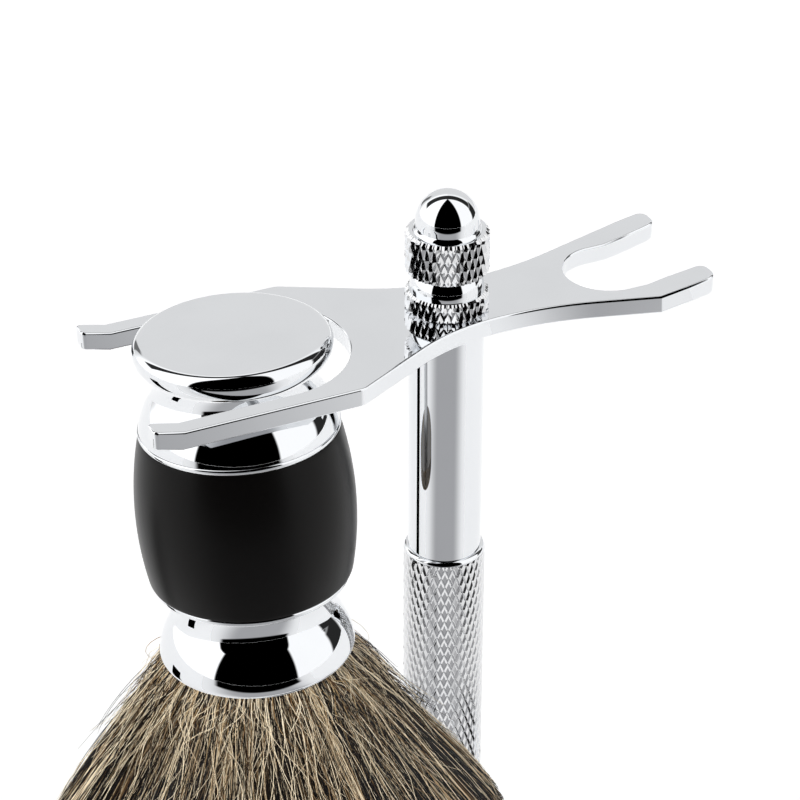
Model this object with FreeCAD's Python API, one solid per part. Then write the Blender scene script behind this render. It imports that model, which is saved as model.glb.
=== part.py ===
"""Shaving stand with a hanging shaving brush: a weighted base, a knurled and polished post,
a two-forked holder plate held by a finial knob, and a fan-shaped brush in the wide fork.

Millimetres, +Z up. The origin is the centre of the base's underside, on the post's axis.
+X runs along the holder plate, from the post towards the narrow fork for the razor.
"""
import FreeCAD
import Part
import math
import os

from FreeCAD import Vector, Rotation, Placement

# ---- driving dimensions: stand -------------------------------------------------------
plate_top_z = 132.0        # top face of the holder plate above the table
base_r = 37.0              # outer radius of the weighted base
base_wall = 1.2            # thickness of the spun base shell
base_edge_h = 4.2          # height of the shell's upright edge
base_lift = 0.6            # gap between the shell's lower edge and the table
dome_rise = 6.4            # rise of the shell's dome from its edge to its boss
boss_r = 9.4               # raised boss that carries the post
boss_h = 2.2
boss_margin = 2.0          # from the boss to the start of the shell's dome
boss_foot = 0.5            # height of the boss's concave foot
shell_corner_r = 2.4       # between the upright edge and the dome
shell_corner_turn = 65     # degrees that the corner turns through
dome_bulge = 0.9           # how far the dome's middle stands above a straight cone
pad_t = 1.5                # soft pad under the base
pad_margin = 0.8           # between the pad's edge and the shell
weight_gap = 0.8           # between the cast disc and the shell around it
head_room = 0.8            # between the pad and the head of the screw

tube_r = 5.9               # polished upper post
tube_wall = 1.6
tube_len = 40.6            # length of the polished stretch below the plate washer
rim_round = 0.7            # polished rounding at the top of the knurled post
grip_r = tube_r + rim_round
spigot_len = 9.0           # top of the knurled post that enters the tube
plug_len = 12.0            # threaded plug in the top of the tube

stud_r = 2.5               # M5 stud
stud_len = 24.0
stud_above_plate = 12.4
base_screw_r = 3.0         # M6 screw from below
base_screw_len = 17.0
screw_head_r = 5.4
screw_head_h = 3.2
key_size = 4.0             # hexagon socket in the screw's head, across flats
key_depth = 1.9
screw_relief = 2.0         # past the end of the base's screw
base_washer_r = 6.4
base_washer_t = 1.2

# ---- driving dimensions: holder plate --------------------------------------------------
plate_t = 3.0
edge_round = 0.35          # polished rounding of the plate's edges
waist_y = 6.65             # half width at the waist
waist_x = 6.5
brush_fork_half = 13.9     # half width of the wide fork's slot
brush_prong_w = 3.05
brush_fork_end_x = -17.5   # closed end of the wide slot
brush_tip_x = -54.3
brush_bend_x = -49.6       # the tips turn up from here
brush_tip_rise = 1.15
brush_flare_slope = 0.53   # side of the plate between the waist and the wide fork
brush_flare_x = -9.6       # where that straight side starts
fork_corner_r = 2.5
razor_fork_half = 7.0      # half width of the narrow fork's slot
razor_fork_end_x = 21.1
razor_tip_x = 41.1
razor_bend_x = 31.4
razor_tip_rise = 1.7
razor_flare_slope = 0.29
razor_prong_w = 4.9
razor_taper = 0.25         # how much wider the narrow fork gets past its bend, each side
razor_taper_run = 4.5
razor_mouth = 0.5          # lead-in at the narrow fork's mouth, each side
razor_mouth_run = 3.0      # from the bend to the start of the lead-in
tip_corner_r = 1.7
short_corner_r = 0.7
washer_t = 0.4             # nylon washer between the tube and the plate
washer_inset = 0.5         # how far its edge stands back from the tube's side

# ---- driving dimensions: finial knob ---------------------------------------------------
knurl_r = 6.5
collar_band_h = 3.4
bead_h = 3.2
bead_r = 5.75
knob_band_h = 6.85
knob_step_r = 5.35
knob_step_h = 0.6
dome_r = 4.95
dome_stem_h = 0.75         # straight part under the dome
band_chamfer = 0.45        # upper edge of the knurled bands
band_chamfer_low = 0.2     # lower edge of the knob's band
spigot_r = 3.9             # the knob's spigot, on which the collar is captive
clip_t = 0.8               # retaining ring
clip_r = 4.5
clip_depth = 0.5           # how deep the ring sits in its groove
clip_lift = 0.6            # from the collar's lower face to the ring
spigot_past_clip = 0.2
bead_top_r = 4.7           # the bead narrows upwards to this
bead_foot = 0.3            # upright foot of the bead
bore_relief = 0.8          # past the end of a screw

# ---- driving dimensions: brush ---------------------------------------------------------
brush_x = -35.7            # brush axis at the level of the plate's top face
brush_y = -1.0
brush_lean_x = -0.9        # degrees: how far the top leans towards +X
brush_lean_y = 4.3         # degrees: how far the top leans towards +Y
cap_r = 15.05
cap_top_h = 4.35           # heights along the brush axis, from the plate's top face
cap_flat_r = 13.3
cap_equator_h = 2.5
cap_under_round = 3.0
neck_r = 11.6
neck_h = -2.2
neck_end_r = 12.55         # where the neck's hollow ends and the shoulder's dome starts
neck_end_h = -5.0
shoulder_mid_r = 14.3      # a point half way down the shoulder's dome
shoulder_mid_h = -7.45
shoulder_r = 15.25
shoulder_h = -10.4
ring_r = 15.45
ring_t = 0.85
ring_flat = 0.2            # upright part between the ring's rounded edges
barrel_r = 17.0
barrel_len = 25.2
barrel_end_r = 15.95
barrel_edge = 0.4          # rounding of the barrel's ends
barrel_widest = 0.56       # share of its length, from the top, where it is widest
barrel_step = 0.05         # how far the barrel's top stands back from the ring above it
lower_ring_t = 1.15
ferrule_len = 13.3
ferrule_top_r = 13.0
ferrule_neck_r = 11.9      # bottom of the cove under the ring
ferrule_neck_drop = 3.1
flare_start_r = 12.7       # where the cove ends and the flare starts
flare_start_drop = 6.4
ferrule_mouth_r = 15.38    # widest part of the flare
mouth_lift = 1.15          # its height above the lip
flare_sag = 0.85           # how far the flare's middle lies inside its widest part
flare_mid_lift = 4.2
ferrule_lip_r = 14.75
lip_round = 0.45           # height of the last rounding of the lip
lip_sag = 0.17
lip_t = 1.15               # thickness of the lip
lip_depth = 0.6            # straight part of the mouth
funnel_depth = 4.5         # from the lip to the socket
socket_r = 10.8
socket_depth = 10.5
rod_r = 3.0
rod_overlap = 8.0          # thread length in the cap; the ferrule takes its whole floor
plug_t = 3.6
hair_straight = 0.3        # how far the hair runs straight out of the ferrule
hair_mid_r = 28.05         # the fan's side, about half way down
hair_mid_len = 21.25
hair_fan_r = 39.5          # widest part of the fan
hair_edge_inset = 2.6      # the fan's rounded lower edge
hair_edge_drop = 4.2
hair_crown_r = 21.7        # the domed lower end, half way out
hair_crown_lift = 2.4
hair_fan_len = 39.0        # from the ferrule's mouth down to the widest part
hair_tip_len = 51.5        # from the ferrule's mouth down to the tips

# ---- clearances ------------------------------------------------------------------------
thread_gap = 0.05          # radial, between a screw and its thread
turning_gap = 0.08         # radial, where one piece turns or slides on another
face_gap = 0.02            # between flat faces that turn on each other
slip_gap = 0.1             # radial, between pieces that are pushed together and glued
loose_gap = 0.4            # radial, where a screw passes freely
post_gap = 0.75            # between the hair and the post


def revolve(outline):
    """A solid of revolution about Z from a closed outline in (r, z).

    Each entry is a point, or a pair (middle, end) for an arc from the point before it.
    """
    edges = []
    here = Vector(outline[0][0], 0, outline[0][1])
    start = here
    for entry in outline[1:] + [outline[0]]:
        if isinstance(entry[0], tuple):
            middle = Vector(entry[0][0], 0, entry[0][1])
            end = Vector(entry[1][0], 0, entry[1][1])
            edges.append(Part.Arc(here, middle, end).toShape())
        else:
            end = Vector(entry[0], 0, entry[1])
            if end.distanceToPoint(here) < 1e-6:
                continue
            edges.append(Part.LineSegment(here, end).toShape())
        here = end
    if here.distanceToPoint(start) > 1e-6:
        raise ValueError("outline is not closed")
    face = Part.Face(Part.Wire(edges))
    return face.revolve(Vector(0, 0, 0), Vector(0, 0, 1), 360)


def cylinder(radius, z_low, z_high, x=0.0, y=0.0):
    return Part.makeCylinder(radius, z_high - z_low, Vector(x, y, z_low))


def ring(outer, inner, z_low, z_high):
    return cylinder(outer, z_low, z_high).cut(cylinder(inner, z_low - 1, z_high + 1))


def hexagon(across_flats, z_low, z_high):
    corner = across_flats / math.sqrt(3)
    turns = [math.radians(60 * i) for i in range(7)]
    points = [Vector(corner * math.cos(a), corner * math.sin(a), z_low) for a in turns]
    return Part.Face(Part.makePolygon(points)).extrude(Vector(0, 0, z_high - z_low))


def arc_point(centre, radius, degrees):
    """The point of a circle in (r, z) at an angle measured from +r towards +z."""
    a = math.radians(degrees)
    return (centre[0] + radius * math.cos(a), centre[1] + radius * math.sin(a))


# ---- levels on the post ----------------------------------------------------------------
plate_under_z = plate_top_z - plate_t
tube_top_z = plate_under_z - washer_t - face_gap
grip_top_z = tube_top_z - tube_len
dome_top_z = base_lift + base_edge_h + dome_rise
boss_top_z = dome_top_z + boss_h
tube_bore_r = tube_r - tube_wall
screw_seat_z = pad_t + head_room + screw_head_h + base_washer_t
screw_top_z = screw_seat_z - base_washer_t + base_screw_len
stud_top_z = plate_top_z + stud_above_plate
plug_low_z = tube_top_z - plug_len

collar_low_z = plate_top_z + face_gap
clip_low_z = collar_low_z + clip_lift
band_top_z = collar_low_z + collar_band_h
collar_top_z = band_top_z + bead_h
knob_low_z = collar_top_z + face_gap
knob_band_top_z = knob_low_z + knob_band_h
dome_centre_z = knob_band_top_z + knob_step_h + dome_stem_h

# ---- levels along the brush, from the plate's top face ---------------------------------
ring_top_h = shoulder_h
barrel_top_h = ring_top_h - ring_t
barrel_end_h = barrel_top_h - barrel_len
ferrule_top_h = barrel_end_h - lower_ring_t
ferrule_end_h = ferrule_top_h - ferrule_len
socket_floor_h = ferrule_end_h + socket_depth
hair_wide_h = ferrule_end_h - hair_fan_len
hair_tip_h = ferrule_end_h - hair_tip_len


# ---- base ------------------------------------------------------------------------------
def base_outline(inset):
    """Outer profile of the base's shell from its edge to its boss, moved in by a wall."""
    corner = shell_corner_r
    turned = shell_corner_turn
    centre = (base_r - corner, base_lift + base_edge_h - corner)
    side_r = base_r - inset
    turn_end = arc_point(centre, corner - inset, turned)
    foot = (boss_r + boss_margin, dome_top_z - inset)
    crown = ((turn_end[0] + foot[0]) / 2, (turn_end[1] + foot[1]) / 2 + dome_bulge)
    return [(side_r, base_lift), (side_r, centre[1]),
            (arc_point(centre, corner - inset, turned / 2), turn_end), (crown, foot)]


def base_shell():
    edge = 0.6
    boss = [(boss_r, dome_top_z + boss_foot), (boss_r, boss_top_z - edge),
            (arc_point((boss_r - edge, boss_top_z - edge), edge, 45), (boss_r - edge, boss_top_z)),
            (0, boss_top_z)]
    body = revolve([(0, base_lift)] + base_outline(0.0) + boss)
    inner = base_outline(base_wall)
    below = base_lift - 1
    hollow = revolve([(0, below), (inner[0][0], below)] + inner[1:] + [(0, dome_top_z - base_wall)])
    hole = cylinder(base_screw_r + loose_gap, base_lift, boss_top_z + 1)
    return body.cut(hollow).cut(hole)


def base_weight():
    """Cast disc that follows the shell's inside and bears on it round the screw."""
    outline = base_outline(base_wall + weight_gap)
    side_r = outline[0][0]
    foot = outline[-1][1]
    under_shell = dome_top_z - base_wall - face_gap
    body = revolve([(0, pad_t), (side_r, pad_t)] + outline[1:] + [
        (foot[0] - weight_gap, under_shell), (0, under_shell)])
    recess = cylinder(base_washer_r + loose_gap, pad_t - 1, screw_seat_z)
    hole = cylinder(base_screw_r + loose_gap, pad_t, boss_top_z)
    return body.cut(recess).cut(hole)


def base_pad():
    return cylinder(base_r - base_wall - pad_margin, 0.0, pad_t)


def base_washer():
    return ring(base_washer_r, base_screw_r + slip_gap, screw_seat_z - base_washer_t, screw_seat_z)


def base_screw():
    """Pan-head screw with a hexagon socket, turned up from below into the knurled post."""
    head_top = screw_seat_z - base_washer_t
    head_low = head_top - screw_head_h
    edge = 0.5
    body = revolve([(0, head_low), (screw_head_r - edge, head_low), (screw_head_r, head_low + edge),
                    (screw_head_r, head_top), (base_screw_r, head_top),
                    (base_screw_r, screw_top_z - edge), (base_screw_r - edge, screw_top_z),
                    (0, screw_top_z)])
    return body.cut(hexagon(key_size, head_low - 1, head_low + key_depth))


# ---- post ------------------------------------------------------------------------------
def post_grip():
    """Lower post: knurled outside, with a polished rounded rim and a spigot for the tube."""
    spigot = tube_bore_r - slip_gap
    spigot_top_z = grip_top_z + spigot_len
    rim_low = grip_top_z - rim_round
    foot = 0.5
    body = revolve([(0, boss_top_z), (grip_r - foot, boss_top_z), (grip_r, boss_top_z + foot),
                    (grip_r, rim_low),
                    (arc_point((grip_r - rim_round, rim_low), rim_round, 45),
                     (grip_r - rim_round, grip_top_z)),
                    (spigot, grip_top_z), (spigot, spigot_top_z), (0, spigot_top_z)])
    return body.cut(cylinder(base_screw_r + thread_gap, boss_top_z - 1, screw_top_z + screw_relief))


def post_tube():
    return ring(tube_r, tube_bore_r, grip_top_z, tube_top_z)


def tube_plug():
    """Threaded plug glued into the top of the tube; it holds the stud."""
    return ring(tube_bore_r - slip_gap, stud_r + thread_gap, plug_low_z, tube_top_z)


def post_stud():
    point = 0.5
    low = stud_top_z - stud_len
    return revolve([(0, low), (stud_r - point, low), (stud_r, low + point),
                    (stud_r, stud_top_z - point), (stud_r - point, stud_top_z), (0, stud_top_z)])


def plate_washer():
    return ring(tube_r - washer_inset, stud_r + slip_gap, tube_top_z, plate_under_z - face_gap)


# ---- holder plate ----------------------------------------------------------------------
def plate_half_outline():
    """Corners of the plate's outline on the +Y side, by name.

    The side is an arc from the waist to a straight flare, towards each fork.
    """
    brush_side_y = brush_fork_half + brush_prong_w
    razor_side_y = razor_fork_half + razor_prong_w
    brush_angle = math.atan(brush_flare_slope)
    brush_radius = (waist_x - brush_flare_x) / math.sin(brush_angle)
    brush_mid, brush_start = waist_arc(brush_radius, brush_angle, -1)
    corner_x = brush_flare_x - (brush_side_y - brush_start.y) / brush_flare_slope
    razor_angle = math.atan(razor_flare_slope)
    rise = razor_side_y - razor_taper - waist_y
    run = razor_bend_x - waist_x
    razor_radius = (run - rise / razor_flare_slope) / math.tan(razor_angle / 2)
    razor_mid, razor_start = waist_arc(razor_radius, razor_angle, 1)
    return {
        "brush_slot": Vector(brush_fork_end_x - brush_fork_half, brush_fork_half, 0),
        "brush_in": Vector(brush_tip_x, brush_fork_half, 0),
        "brush_out": Vector(brush_tip_x, brush_side_y, 0),
        "brush_corner": Vector(corner_x, brush_side_y, 0),
        "brush_start": brush_start,
        "brush_mid": brush_mid,
        "waist": Vector(waist_x, waist_y, 0),
        "razor_mid": razor_mid,
        "razor_start": razor_start,
        "razor_bend": Vector(razor_bend_x, waist_y + rise, 0),
        "razor_side": Vector(razor_bend_x + razor_taper_run, razor_side_y, 0),
        "razor_out": Vector(razor_tip_x, razor_side_y, 0),
        "razor_in": Vector(razor_tip_x, razor_fork_half + razor_mouth, 0),
        "razor_mouth": Vector(razor_bend_x + razor_mouth_run, razor_fork_half, 0),
        "razor_slot": Vector(razor_fork_end_x + razor_fork_half, razor_fork_half, 0),
    }


def waist_arc(radius, angle, side):
    """Middle and end of the arc that leaves the waist towards -X or +X (side -1 or 1)."""
    points = []
    for turned in (angle / 2, angle):
        points.append(Vector(waist_x + side * radius * math.sin(turned),
                             waist_y + radius * (1 - math.cos(turned)), 0))
    return points


def plate_outline_solid(height):
    """The plate seen from above, extruded upwards, with its corners rounded."""
    corners = plate_half_outline()

    def place(name, side):
        v = corners[name]
        return Vector(v.x, side * v.y, 0)

    def line(a, b, side):
        return Part.LineSegment(place(a, side), place(b, side)).toShape()

    def arc(a, middle, b, side):
        return Part.Arc(place(a, side), place(middle, side), place(b, side)).toShape()

    def slot_end(name, x):
        return Part.Arc(place(name, 1), Vector(x, 0, 0), place(name, -1)).toShape()

    straight = [("brush_slot", "brush_in"), ("brush_in", "brush_out"),
                ("brush_out", "brush_corner"), ("brush_corner", "brush_start"),
                ("razor_start", "razor_bend"), ("razor_bend", "razor_side"),
                ("razor_side", "razor_out"), ("razor_out", "razor_in"),
                ("razor_in", "razor_mouth"), ("razor_mouth", "razor_slot")]
    edges = [slot_end("razor_slot", razor_fork_end_x), slot_end("brush_slot", brush_fork_end_x)]
    for side in (1, -1):
        edges += [line(a, b, side) for a, b in straight]
        edges.append(arc("brush_start", "brush_mid", "waist", side))
        edges.append(arc("waist", "razor_mid", "razor_start", side))
    wire = Part.Wire(Part.__sortEdges__(edges))
    solid = Part.Face(wire).extrude(Vector(0, 0, height))
    rounds = [("brush_corner", fork_corner_r), ("brush_in", short_corner_r),
              ("brush_out", short_corner_r), ("razor_out", tip_corner_r),
              ("razor_in", tip_corner_r)]
    for name, radius in rounds:
        for side in (1, -1):
            solid = solid.makeFillet(radius, upright_edges_at(solid, place(name, side)))
    return solid


def upright_edges_at(solid, point):
    """The vertical edges of a solid that stand on a point."""
    found = []
    for edge in solid.Edges:
        a, b = edge.Vertexes[0].Point, edge.Vertexes[-1].Point
        on_point = math.hypot(a.x - point.x, a.y - point.y) < 1e-4
        if on_point and math.hypot(a.x - b.x, a.y - b.y) < 1e-6 and abs(a.z - b.z) > 0.1:
            found.append(edge)
    return found


def holder_plate():
    """The plate's side view, with its turned-up tips, cut to its outline from above."""
    left_run = brush_bend_x - brush_tip_x
    right_run = razor_tip_x - razor_bend_x
    past = 2.0
    left_rise = brush_tip_rise * (left_run + past) / left_run
    right_rise = razor_tip_rise * (right_run + past) / right_run
    left_shift = plate_t * math.tan(math.atan(brush_tip_rise / left_run) / 2)
    right_shift = plate_t * math.tan(math.atan(razor_tip_rise / right_run) / 2)
    left_x, right_x = brush_tip_x - past, razor_tip_x + past
    low = -plate_t
    side = [(left_x, left_rise), (brush_bend_x, 0), (razor_bend_x, 0), (right_x, right_rise),
            (right_x, right_rise + low), (razor_bend_x + right_shift, low),
            (brush_bend_x - left_shift, low), (left_x, left_rise + low)]
    width = brush_fork_half + brush_prong_w + 5
    points = [Vector(x, -width, plate_top_z + z) for x, z in side]
    strip = Part.Face(Part.makePolygon(points + [points[0]])).extrude(Vector(0, 2 * width, 0))
    outline = plate_outline_solid(4 * plate_t).translated(Vector(0, 0, plate_top_z - 2 * plate_t))
    plate = strip.common(outline).removeSplitter()
    plate = plate.Solids[0].cut(cylinder(stud_r + turning_gap, plate_under_z - 1, plate_top_z + 1))
    return round_plate_edges(plate.Solids[0])


def round_plate_edges(plate):
    """Rounds the long edges between the plate's faces and its sides."""
    hole_r = stud_r + turning_gap
    edges = []
    for edge in plate.Edges:
        middle = edge.valueAt((edge.FirstParameter + edge.LastParameter) / 2)
        a, b = edge.Vertexes[0].Point, edge.Vertexes[-1].Point
        upright = math.hypot(a.x - b.x, a.y - b.y) < 1e-4 and abs(a.z - b.z) > 0.5
        at_hole = math.hypot(middle.x, middle.y) < hole_r + 0.5
        across = abs(a.x - b.x) < 1e-4 and abs(a.z - b.z) < 1e-4 and is_bend(a.x)
        if not (upright or at_hole or across):
            edges.append(edge)
    return plate.makeFillet(edge_round, edges)


def is_bend(x):
    return min(abs(x - brush_bend_x), abs(x - razor_bend_x)) < 1.0


# ---- finial ----------------------------------------------------------------------------
def clamp_collar():
    """Knurled band with a polished bead above it; it stays captive on the knob's spigot."""
    c = band_chamfer
    foot_z = band_top_z + bead_foot
    rise, inset = collar_top_z - foot_z, bead_r - bead_top_r
    bulge_r = (rise * rise + inset * inset) / (2 * inset)
    half_turn = math.degrees(math.atan2(rise, bulge_r - inset)) / 2
    bead_middle = arc_point((bead_r - bulge_r, foot_z), bulge_r, half_turn)
    body = revolve([(0, collar_low_z), (knurl_r - c, collar_low_z), (knurl_r, collar_low_z + c),
                    (knurl_r, band_top_z - c), (knurl_r - c, band_top_z), (bead_r, band_top_z),
                    (bead_r, foot_z), (bead_middle, (bead_top_r, collar_top_z)),
                    (0, collar_top_z)])
    bore = cylinder(spigot_r + turning_gap, collar_low_z - 1, collar_top_z + 1)
    seat = cylinder(clip_r + 2 * turning_gap, collar_low_z - 1, clip_low_z + clip_t + turning_gap)
    return body.cut(bore).cut(seat)


def collar_clip():
    """Retaining ring on the end of the spigot, under the collar's shoulder."""
    return ring(clip_r, spigot_r - clip_depth, clip_low_z, clip_low_z + clip_t)


def knob():
    """Knurled band, step, stem and dome in one turned piece, with a threaded spigot."""
    c = band_chamfer
    low = knob_low_z
    spigot_low = clip_low_z - spigot_past_clip
    step_top = knob_band_top_z + knob_step_h
    dome_top = dome_centre_z + dome_r
    body = revolve([(0, spigot_low), (spigot_r, spigot_low), (spigot_r, low),
                    (knurl_r - band_chamfer_low, low), (knurl_r, low + band_chamfer_low),
                    (knurl_r, knob_band_top_z - c),
                    (knurl_r - c, knob_band_top_z), (knob_step_r, knob_band_top_z),
                    (arc_point((knob_step_r, step_top), knob_step_r - dome_r, 225),
                     (dome_r, step_top)),
                    (dome_r, dome_centre_z),
                    (arc_point((0, dome_centre_z), dome_r, 45), (0, dome_top))])
    groove = ring(spigot_r + 1, spigot_r - clip_depth - slip_gap, clip_low_z - face_gap,
                  clip_low_z + clip_t + face_gap)
    thread = cylinder(stud_r + thread_gap, spigot_low - 1, stud_top_z + bore_relief)
    return body.cut(groove).cut(thread)


# ---- brush -----------------------------------------------------------------------------
def handle_cap():
    """Turned cap: flat top, full rim, waisted neck and domed shoulder."""
    top_round = cap_top_h - cap_equator_h
    rim_centre = (cap_r - cap_under_round, cap_equator_h)
    under = (rim_centre[0], cap_equator_h - cap_under_round)
    half = math.sin(math.radians(45))
    top_mid = (cap_flat_r + (cap_r - cap_flat_r) * half, cap_equator_h + top_round * half)
    body = revolve([(0, cap_top_h), (cap_flat_r, cap_top_h), (top_mid, (cap_r, cap_equator_h)),
                    (arc_point(rim_centre, cap_under_round, -45), under),
                    ((neck_r, neck_h), (neck_end_r, neck_end_h)),
                    ((shoulder_mid_r, shoulder_mid_h), (shoulder_r, shoulder_h)),
                    (0, shoulder_h)])
    thread_top = shoulder_h + rod_overlap + bore_relief
    return body.cut(cylinder(rod_r + thread_gap, shoulder_h - 1, thread_top))


def trim_ring(high, thick):
    edge = (thick - ring_flat) / 2
    low = high - thick
    return revolve([(rod_r + slip_gap, low), (ring_r - edge, low),
                    (arc_point((ring_r - edge, low + edge), edge, -45), (ring_r, low + edge)),
                    (ring_r, high - edge),
                    (arc_point((ring_r - edge, high - edge), edge, 45), (ring_r - edge, high)),
                    (rod_r + slip_gap, high)])


def upper_ring():
    return trim_ring(ring_top_h, ring_t)


def handle_barrel():
    """Barrel-shaped body with softly rounded ends."""
    widest_h = barrel_top_h - barrel_widest * barrel_len
    body = revolve([(0, barrel_top_h), (ring_r - barrel_edge, barrel_top_h),
                    (ring_r - barrel_step, barrel_top_h - barrel_edge),
                    ((barrel_r, widest_h), (barrel_end_r, barrel_end_h + barrel_edge)),
                    (barrel_end_r - barrel_edge, barrel_end_h), (0, barrel_end_h)])
    return body.cut(cylinder(rod_r + loose_gap, barrel_end_h - 1, barrel_top_h + 1))


def lower_ring():
    return trim_ring(barrel_end_h, lower_ring_t)


def handle_rod():
    return cylinder(rod_r, socket_floor_h, shoulder_h + rod_overlap)


def ferrule():
    """Trumpet-shaped ferrule: a cove under the ring, then a flare that rolls in at its lip."""
    cove = (ferrule_neck_r, ferrule_top_h - ferrule_neck_drop)
    flare_start = (flare_start_r, ferrule_top_h - flare_start_drop)
    flare_mid = (ferrule_mouth_r - flare_sag, ferrule_end_h + flare_mid_lift)
    widest = (ferrule_mouth_r, ferrule_end_h + mouth_lift)
    lip_mid = (ferrule_mouth_r - lip_sag, ferrule_end_h + lip_round)
    body = revolve([(0, ferrule_top_h), (ferrule_top_r, ferrule_top_h), (cove, flare_start),
                    (flare_mid, widest), (lip_mid, (ferrule_lip_r, ferrule_end_h)),
                    (0, ferrule_end_h)])
    mouth_r = ferrule_lip_r - lip_t
    mouth = revolve([(0, ferrule_end_h - 1), (mouth_r, ferrule_end_h - 1),
                     (mouth_r, ferrule_end_h + lip_depth), (socket_r, ferrule_end_h + funnel_depth),
                     (socket_r, socket_floor_h), (0, socket_floor_h)])
    return body.cut(mouth).cut(cylinder(rod_r + thread_gap, socket_floor_h - 1, ferrule_top_h + 1))


def knot_plug():
    """Resin that binds the hair's roots in the ferrule."""
    return cylinder(socket_r - slip_gap, socket_floor_h - plug_t, socket_floor_h - face_gap)


def hair_knot():
    """Closed outer shape of the hair, from the plug to the tips."""
    root_h = socket_floor_h - plug_t - 2 * face_gap
    root_r = socket_r - slip_gap
    mouth_r = ferrule_lip_r - lip_t - slip_gap
    fan_middle = (hair_mid_r, ferrule_end_h - hair_mid_len)
    edge = (hair_fan_r - hair_edge_inset, hair_wide_h - hair_edge_drop)
    crown = (hair_crown_r, hair_tip_h + hair_crown_lift)
    return revolve([(0, root_h), (root_r, root_h), (root_r, ferrule_end_h + funnel_depth - slip_gap),
                    (mouth_r, ferrule_end_h + lip_depth - slip_gap),
                    (mouth_r, ferrule_end_h - hair_straight),
                    (fan_middle, (hair_fan_r, hair_wide_h)), edge, (crown, (0, hair_tip_h))])


def brush_placement():
    """Puts a piece made about Z onto the brush's leaning axis."""
    along = Vector(math.tan(math.radians(brush_lean_x)), math.tan(math.radians(brush_lean_y)), 1)
    return Placement(Vector(brush_x, brush_y, plate_top_z), Rotation(Vector(0, 0, 1), along))


def on_brush(shape):
    placed = shape.copy()
    placed.Placement = brush_placement().multiply(placed.Placement)
    return placed


def clear_of_post(shape):
    """Cuts a groove round the post, open towards +X so that the brush can be drawn out."""
    radius = grip_r + post_gap
    reach = 2 * hair_fan_r
    groove = cylinder(radius, 0, plate_top_z)
    way_out = Part.makeBox(reach, 2 * radius, plate_top_z, Vector(0, -radius, 0))
    return shape.cut(groove.fuse(way_out))


# ---- output ----------------------------------------------------------------------------
def all_parts():
    return {
        "base_shell": base_shell(), "base_weight": base_weight(), "base_pad": base_pad(),
        "base_washer": base_washer(), "base_screw": base_screw(),
        "post_grip": post_grip(), "post_tube": post_tube(), "tube_plug": tube_plug(),
        "post_stud": post_stud(), "plate_washer": plate_washer(),
        "holder_plate": holder_plate(),
        "clamp_collar": clamp_collar(), "collar_clip": collar_clip(), "knob": knob(),
        "handle_cap": on_brush(handle_cap()), "upper_ring": on_brush(upper_ring()),
        "handle_barrel": on_brush(handle_barrel()), "lower_ring": on_brush(lower_ring()),
        "handle_rod": on_brush(handle_rod()), "ferrule": on_brush(ferrule()),
        "knot_plug": on_brush(knot_plug()),
        "hair_knot": clear_of_post(on_brush(hair_knot())),
    }


os.makedirs("parts", exist_ok=True)
for name, shape in all_parts().items():
    solids = shape.Solids
    if not shape.isValid() or not solids:
        raise ValueError(name + " has no valid solid")
    shape.exportStep("parts/" + name + ".step")
    print(name, len(solids), round(shape.Volume, 1))
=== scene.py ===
"""Looks of a shaving stand with a hanging brush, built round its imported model.

Metres, +Z up, in the model's own frame. Profiles are written in millimetres, as (radius, height),
and a piece's mesh is turned into metres when it is finished.
"""
import bmesh
import bpy
import math
import numpy as np

from mathutils import Matrix, Vector


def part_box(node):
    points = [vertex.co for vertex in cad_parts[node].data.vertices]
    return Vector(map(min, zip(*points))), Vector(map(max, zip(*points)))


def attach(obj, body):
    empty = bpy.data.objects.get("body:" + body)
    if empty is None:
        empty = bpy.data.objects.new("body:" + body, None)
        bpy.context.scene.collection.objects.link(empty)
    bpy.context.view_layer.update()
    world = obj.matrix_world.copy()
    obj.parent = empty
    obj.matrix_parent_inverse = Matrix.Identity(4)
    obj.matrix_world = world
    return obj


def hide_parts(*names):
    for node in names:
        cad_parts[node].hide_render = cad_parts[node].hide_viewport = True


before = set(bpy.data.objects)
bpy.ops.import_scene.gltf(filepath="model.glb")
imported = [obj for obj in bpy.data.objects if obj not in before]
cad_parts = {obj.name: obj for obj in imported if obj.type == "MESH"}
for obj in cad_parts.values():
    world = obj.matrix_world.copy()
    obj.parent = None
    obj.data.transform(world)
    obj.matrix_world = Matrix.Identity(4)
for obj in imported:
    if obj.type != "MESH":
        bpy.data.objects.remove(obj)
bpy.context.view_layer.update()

MM = 0.001

# ---- levels and sizes, in millimetres --------------------------------------------------
PLATE_TOP = 132.0
BASE_R = 37.0
BOSS_R, BOSS_TOP = 9.4, 13.4    # raised middle of the base, which the post stands on
POST_R = 6.6                    # knurled lower post
TUBE_R = 5.9                    # polished upper post
KNURL_R = 6.5                   # knurled bands of the finial
BEAD_R, BEAD_TOP_R = 5.75, 4.7  # the collar's bead, low down and at its top
DOME_R = 4.95

KNURL_STARTS = 33               # grooves round the post, each way
KNURL_RISE = 3.4                # height of one diamond
GRIP_KNURL = (0.27, 0.24)       # width and depth of the sloping sides of the post's diamonds
BAND_KNURL = (0.42, 0.36)       # the same on the finial's bands

# The brush's own heights are counted along its axis from the top of the plate.
BRUSH_AXIS = Vector((-35.7, -1.0, PLATE_TOP))
BRUSH_LEAN = (math.radians(-0.9), math.radians(4.3))    # of its upper end, towards +X and +Y
SHOULDER_R, SHOULDER_H = 15.25, -10.4                   # foot of the cap
RING_R = 15.45
BARREL_R, BARREL_END_R = 17.0, 15.95
BARREL_TOP, BARREL_END = -11.25, -36.45
FERRULE_TOP, FERRULE_END = -37.6, -50.9
FERRULE_R, LIP_R = 15.38, 14.75     # the ferrule where it is widest, and at its lower edge
ROD_BORE_R, BARREL_BORE_R = 3.1, 3.4

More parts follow.
